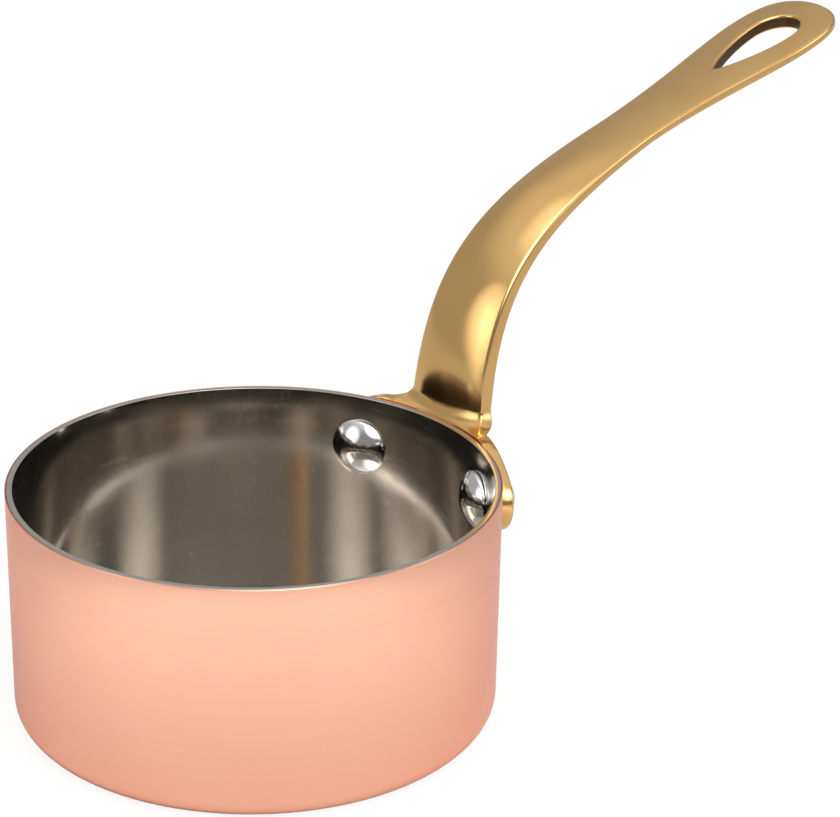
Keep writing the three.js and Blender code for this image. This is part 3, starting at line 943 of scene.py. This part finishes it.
def brass_finish(sizes):
    """Cast brass, polished along its length, with painted shade on the hanging hole's wall."""
    colours = sizes.finishes
    material, tree, shader = new_metal("polished_brass")
    marks = use_group(tree, HANDLING_MARKS, handling_group, Haze_per_metre=90.0)
    along = add_node(tree, "ShaderNodeMapping", Vector=own_place(tree), Scale=POLISH_STRETCH)
    noise = add_node(tree, "ShaderNodeTexNoise", Vector=along.outputs[0], Scale=1.0, Detail=2.0)
    polish = noise.outputs["Fac"]
    dull = calculate(tree, "MULTIPLY", marks["Haze"], BRASS_HAZE)
    worn = mix(tree, "RGBA", dull, opaque(colours.brass), opaque(colours.brass_deep))
    # Painted shade: the hanging hole's wall is coloured near-black brown, standing for the dark it reflects
    shaded_hole = add_node(tree, "ShaderNodeAttribute", {"attribute_name": HOLE_SHADE}).outputs["Fac"]
    cast = mix(tree, "RGBA", shaded_hole, worn, opaque(colours.brass_hole_shade))
    tree.links.new(cast, shader.inputs["Base Color"])
    soft = map_range(tree, marks["Haze"], 0.0, 1.0, *colours.brass_gloss)
    polished = calculate(tree, "MULTIPLY_ADD", polish, POLISH_ROUGHNESS, soft)
    rough = calculate(tree, "MULTIPLY_ADD", shaded_hole, HOLE_ROUGHNESS, polished)
    tree.links.new(rough, shader.inputs["Roughness"])
    bump = add_node(tree, "ShaderNodeBump", Height=polish, Strength=1.0, Distance=POLISH_DEPTH)
    tree.links.new(bump.outputs["Normal"], shader.inputs["Normal"])
    return material


def rivet_finish(sizes):
    """Mirror-polished stainless steel with a few scratches."""
    colours = sizes.finishes
    material, tree, shader = new_metal("mirror_steel")
    marks = use_group(tree, HANDLING_MARKS, handling_group, Haze_per_metre=200.0)
    shader.inputs["Base Color"].default_value = opaque(colours.rivet)
    soft = map_range(tree, marks["Haze"], 0.0, 1.0, *colours.rivet_gloss)
    rough = calculate(tree, "MULTIPLY_ADD", marks["Scratches"], RIVET_SCRATCH_ROUGHNESS, soft)
    tree.links.new(rough, shader.inputs["Roughness"])
    return material


# Stage

FLOOR_GAP = 0.05 * MM
FLOOR_SIDES = 96

# How far a direction points to the camera, or up, where the room or the ceiling starts and is full
ROOM_BAND = (0.2, 0.85)
CEILING_BAND = (0.5, 0.88)


def floor_finish(studio):
    """A pale floor that stays nearly white to the eye and keeps the shadow. To reflections it shows painted
    shade beside the pan and away from it, a painted pool of light in front of it and a painted glow in the
    distance.
    """
    material = bpy.data.materials.new("pale_floor")
    material.use_nodes = True
    tree = material.node_tree
    tree.nodes.clear()
    path = add_node(tree, "ShaderNodeLightPath").outputs
    place = own_place(tree)
    out = add_node(tree, "ShaderNodeVectorMath", {"operation": "LENGTH"}, Vector=place).outputs["Value"]
    # Painted pool of light for reflections: brightest in front of the pan, fading to grey away from it
    front = add_node(tree, "ShaderNodeVectorMath", {"operation": "DISTANCE"}, Vector=place)
    front.inputs[1].default_value = bearing(studio, 0, 0) * studio.light_pool_middle
    from_middle = front.outputs["Value"]
    away = map_range(tree, from_middle, studio.pool_start, studio.pool_end, 0.0, 1.0, smooth=True)
    # Painted shade for reflections: the floor is greyer beside the pan
    beside = map_range(tree, out, studio.near_start, studio.near_end, 1.0, 0.0, smooth=True)
    # Painted light for reflections: the distant floor glows paler
    haze = studio.distant_floor_glow
    distant = map_range(tree, out, studio.glow_start, studio.glow_end, 0.0, haze, smooth=True)
    # Painted shade beside the pan, for reflections only
    lit = mix(tree, "RGBA", beside, opaque(studio.floor_colour), opaque(studio.near_floor_shade))
    # Painted shade away from the painted pool of light, for reflections only
    reflected = mix(tree, "RGBA", away, lit, opaque(studio.far_floor_shade))
    # Camera rays see the plain floor colour, without the painted light and shade
    shade = mix(tree, "RGBA", path["Is Camera Ray"], reflected, opaque(studio.floor_colour))
    glow = calculate(tree, "MULTIPLY", path["Is Camera Ray"], studio.floor_glow)
    # Glossy rays add the distant floor's painted glow to the white
    share = calculate(tree, "MULTIPLY_ADD", path["Is Glossy Ray"], distant, glow)
    plain = add_node(tree, "ShaderNodeBsdfDiffuse", Color=shade)
    white = add_node(tree, "ShaderNodeEmission", Color=WHITE, Strength=1.0)
    mixed = add_node(tree, "ShaderNodeMixShader", Fac=share)
    tree.links.new(plain.outputs[0], mixed.inputs[1])
    tree.links.new(white.outputs[0], mixed.inputs[2])
    output = tree.nodes.new("ShaderNodeOutputMaterial")
    tree.links.new(mixed.outputs[0], output.inputs["Surface"])
    return material


def lay_floor(studio):
    """The pale floor, just below the base."""
    bm = bmesh.new()
    below = Matrix.Translation(-FLOOR_GAP * Z_AXIS)
    radius = studio.floor_radius
    bmesh.ops.create_circle(bm, cap_ends=True, segments=FLOOR_SIDES, radius=radius, matrix=below)
    bmesh.ops.recalc_face_normals(bm, faces=bm.faces[:])
    floor = piece_from(bm, "floor")
    if floor.data.polygons[0].normal.z < 0:
        floor.data.flip_normals()
    floor.data.materials.append(floor_finish(studio))


def bearing(studio, turn, elevation):
    """A direction from the pan, turned from the camera's and raised above the floor."""
    azimuth = studio.azimuth + turn
    level = math.cos(elevation)
    return Vector((level * math.cos(azimuth), level * math.sin(azimuth), math.sin(elevation)))


def light_world(studio):
    """Soft grey walls, a lighter ceiling and a dimmer room behind the camera. To the eye it is white."""
    world = bpy.data.worlds.new("studio")
    bpy.context.scene.world = world
    world.use_nodes = True
    tree = world.node_tree
    tree.nodes.clear()
    towards = add_node(tree, "ShaderNodeTexCoord").outputs["Generated"]
    level = add_node(tree, "ShaderNodeSeparateXYZ", Vector=towards).outputs["Z"]
    camera_side = add_node(tree, "ShaderNodeVectorMath", {"operation": "DOT_PRODUCT"}, Vector=towards)
    camera_side.inputs[1].default_value = bearing(studio, 0, 0)
    facing = map_range(tree, camera_side.outputs["Value"], *ROOM_BAND, 0.0, 1.0, smooth=True)
    wall = map_range(tree, facing, 0.0, 1.0, studio.backdrop, studio.room)
    above = map_range(tree, level, *CEILING_BAND, 0.0, 1.0, smooth=True)
    upper = mix(tree, "FLOAT", above, wall, studio.ceiling)
    seen = add_node(tree, "ShaderNodeLightPath").outputs["Is Camera Ray"]
    strength = mix(tree, "FLOAT", seen, upper, 1.0)
    sky = add_node(tree, "ShaderNodeBackground", Color=WHITE, Strength=strength)
    output = tree.nodes.new("ShaderNodeOutputWorld")
    tree.links.new(sky.outputs[0], output.inputs["Surface"])


def add_softbox(name, studio, aim, turn, elevation, brightness, beam):
    """A round lamp of a given brightness, turned to a point. Its light fades out towards its edge."""
    lamp = bpy.data.lights.new(name, "AREA")
    softbox = bpy.data.objects.new(name, lamp)
    softbox.location = bearing(studio, turn, elevation) * studio.light_distance
    sight = aim - softbox.location
    softbox.rotation_euler = sight.to_track_quat("-Z", "Y").to_euler()
    lamp.shape = "DISK"
    lamp.spread = beam
    lamp.size = 2 * sight.length * math.tan(beam / 2)
    area = math.pi * lamp.size**2 / 4
    lamp.energy = brightness * math.pi * area * (1 - beam / 2 / math.tan(beam / 2))
    bpy.context.scene.collection.objects.link(softbox)


def set_lights(studio, middle):
    """The world's soft light, and four softboxes turned to the rim's middle."""
    light_world(studio)
    softboxes = (
        ("softbox_key", studio.key_turn, studio.key_elevation, studio.key, studio.key_spread),
        (
            "softbox_overhead",
            studio.overhead_turn,
            studio.overhead_elevation,
            studio.overhead,
            studio.overhead_spread,
        ),
        ("softbox_left", studio.left_turn, studio.side_elevation, studio.side, studio.side_spread),
        ("softbox_right", studio.right_turn, studio.side_elevation, studio.side, studio.side_spread),
    )
    for name, *settings in softboxes:
        add_softbox(name, studio, middle, *settings)


def set_camera(studio, middle):
    """Looks at the rim's middle, then turns to the photograph's framing."""
    lens = bpy.data.cameras.new("camera")
    lens.lens = studio.lens
    lens.sensor_fit = "HORIZONTAL"
    camera = bpy.data.objects.new("camera", lens)
    place = middle + bearing(studio, 0, studio.elevation) * studio.distance
    look = (middle - place).to_track_quat("-Z", "Y").to_matrix()
    look @= Matrix.Rotation(studio.pan, 3, "Y")
    look @= Matrix.Rotation(studio.tilt, 3, "X")
    look @= Matrix.Rotation(studio.roll, 3, "Z")
    camera.matrix_world = Matrix.Translation(place) @ look.to_4x4()
    bpy.context.scene.collection.objects.link(camera)
    bpy.context.scene.camera = camera


# Operators


class SaucepanSizes(PropertyGroup):
    """Everything that a user would change."""

    pan: PointerProperty(type=PanSizes)
    rivets: PointerProperty(type=RivetSizes)
    handle: PointerProperty(type=HandleSizes)
    finishes: PointerProperty(type=Finishes)
    studio: PointerProperty(type=StudioSettings)


class SAUCEPAN_OT_copper_shell(Operator):
    """Spin the copper sheet and drill it for the rivets"""

    bl_idname = "saucepan.copper_shell"
    bl_label = "Copper shell"

    def execute(self, context):
        sizes = context.scene.saucepan
        pan = sizes.pan
        inner_corner = pan.corner_radius - pan.copper
        shell = spun_sheet("shell", sizes, 0, pan.copper, pan.outer_round, inner_corner)
        drill(shell, sizes)
        dress(shell, "copper_shell", copper_finish(sizes))
        return {"FINISHED"}


class SAUCEPAN_OT_steel_lining(Operator):
    """Spin the stainless lining inside the copper and drill it for the rivets"""

    bl_idname = "saucepan.steel_lining"
    bl_label = "Steel lining"

    def execute(self, context):
        sizes = context.scene.saucepan
        pan = sizes.pan
        outside = pan.copper + pan.bond_gap
        inside = outside + pan.lining
        rounds = (pan.rim_round, pan.inner_corner)
        lining = spun_sheet("lining", sizes, outside, inside, *rounds, draft=pan.draft)
        drill(lining, sizes)
        dress(lining, "steel_lining", steel_finish(sizes))
        return {"FINISHED"}


class SAUCEPAN_OT_brass_handle(Operator):
    """Bend the brass casting to shape and drill its flange for the rivets"""

    bl_idname = "saucepan.brass_handle"
    bl_label = "Brass handle"

    def execute(self, context):
        sizes = context.scene.saucepan
        casting = brass_casting("casting", sizes.pan, sizes.handle)
        drill(casting, sizes)
        dress(casting, "brass_handle", brass_finish(sizes))
        return {"FINISHED"}


class SAUCEPAN_OT_rivets(Operator):
    """Turn both rivets and set them through the wall and the flange"""

    bl_idname = "saucepan.rivets"
    bl_label = "Rivets"

    def execute(self, context):
        sizes = context.scene.saucepan
        polish = rivet_finish(sizes)
        for name, side in (("left", 1), ("right", -1)):
            dress(rivet(f"polished_rivet_{name}", sizes, side), f"rivet_{name}", polish)
        return {"FINISHED"}


class SAUCEPAN_OT_stage(Operator):
    """Lay the pale floor, set the softboxes and place the camera"""

    bl_idname = "saucepan.stage"
    bl_label = "Studio"

    def execute(self, context):
        studio = context.scene.saucepan.studio
        middle = Vector((0, 0, context.scene.saucepan.pan.height))
        lay_floor(studio)
        set_lights(studio, middle)
        set_camera(studio, middle)
        context.scene.view_settings.view_transform = "Standard"
        return {"FINISHED"}


class SAUCEPAN_PT_panel(Panel):
    """Lists the pieces in the order in which they are made"""

    bl_label = "Saucepan"
    bl_idname = "SAUCEPAN_PT_panel"
    bl_space_type = "VIEW_3D"
    bl_region_type = "UI"
    bl_category = "Saucepan"

    def draw(self, context):
        for operator in OPERATORS:
            self.layout.operator(operator.bl_idname)


OPERATORS = (
    SAUCEPAN_OT_stage,
    SAUCEPAN_OT_copper_shell,
    SAUCEPAN_OT_steel_lining,
    SAUCEPAN_OT_brass_handle,
    SAUCEPAN_OT_rivets,
)
GROUPS = (PanSizes, RivetSizes, HandleSizes, Finishes, StudioSettings, SaucepanSizes)
CLASSES = GROUPS + OPERATORS + (SAUCEPAN_PT_panel,)


def register():
    """Registers the classes and gives the scene its sizes."""
    for item in CLASSES:
        bpy.utils.register_class(item)
    bpy.types.Scene.saucepan = PointerProperty(type=SaucepanSizes)


def unregister():
    """Takes the sizes and the classes away again."""
    del bpy.types.Scene.saucepan
    for item in reversed(CLASSES):
        bpy.utils.unregister_class(item)


def main():
    """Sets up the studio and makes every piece."""
    register()
    bpy.ops.saucepan.stage()
    bpy.ops.saucepan.copper_shell()
    bpy.ops.saucepan.steel_lining()
    bpy.ops.saucepan.brass_handle()
    bpy.ops.saucepan.rivets()


if __name__ == "__main__":
    main()
